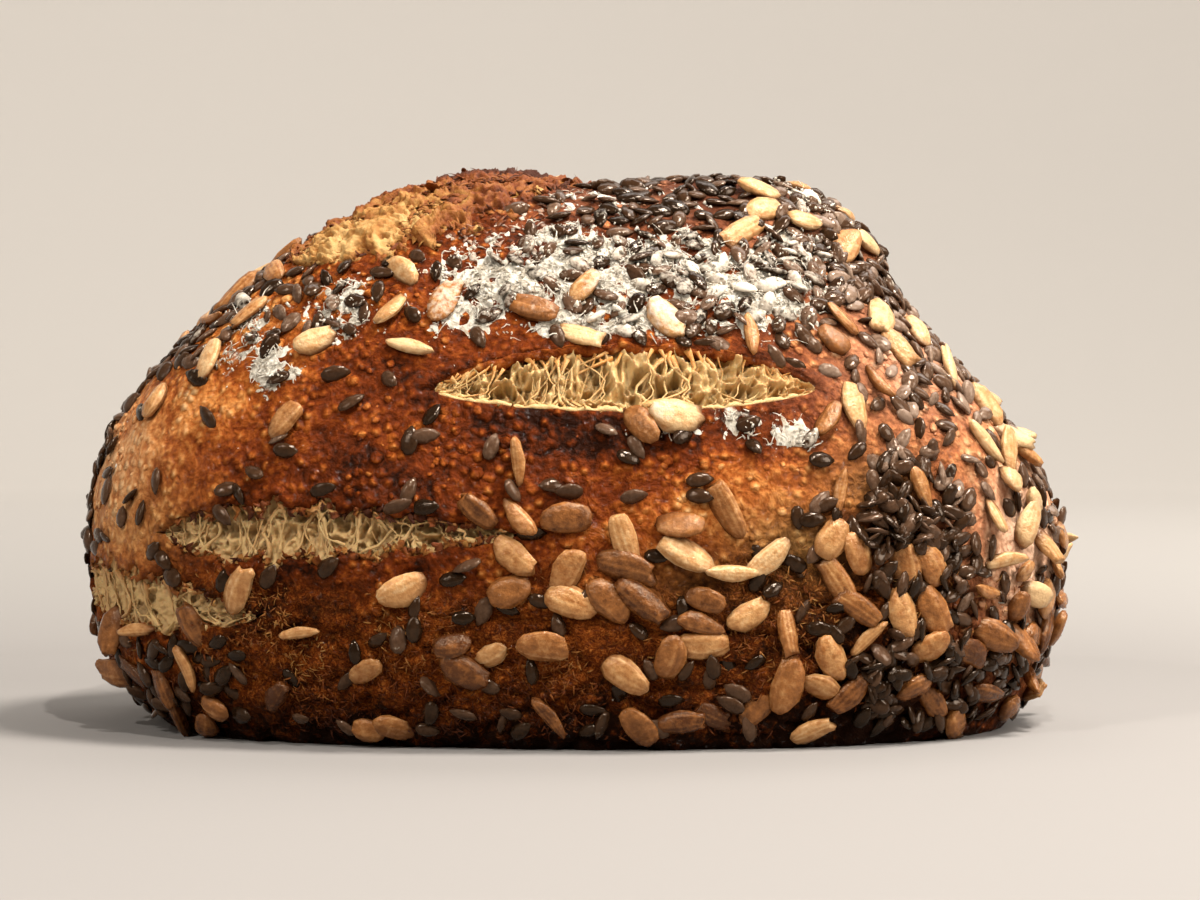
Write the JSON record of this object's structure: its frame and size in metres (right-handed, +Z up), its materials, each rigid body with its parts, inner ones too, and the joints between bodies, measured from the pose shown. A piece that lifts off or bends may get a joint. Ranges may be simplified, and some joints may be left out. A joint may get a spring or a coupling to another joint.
{
  "type": "seeded rye loaf",
  "caption": "Small domed oval rye loaf baked without a tin, with a torn crown, a lens-shaped slash and side tears, crusted with sunflower kernels, linseed and flour",
  "frame": {"origin": "on the flat base at z = 0, straight below the middle of the dough", "axes": "+X along the loaf's length, the picture's right; -Y out of the slashed front; +Z up"},
  "size_m": [0.1937, 0.1299, 0.1096],
  "materials": {
    "crust": "baked rye crust, satin mahogany to tan",
    "crumb": "pale rye crumb, open and glossy in the slash",
    "kernel": "toasted sunflower kernel",
    "linseed": "glossy brown linseed",
    "flour": "dusting flour"
  },
  "bodies": {
    "root": {"loaf": "crust"}
  },
  "joints": []
}
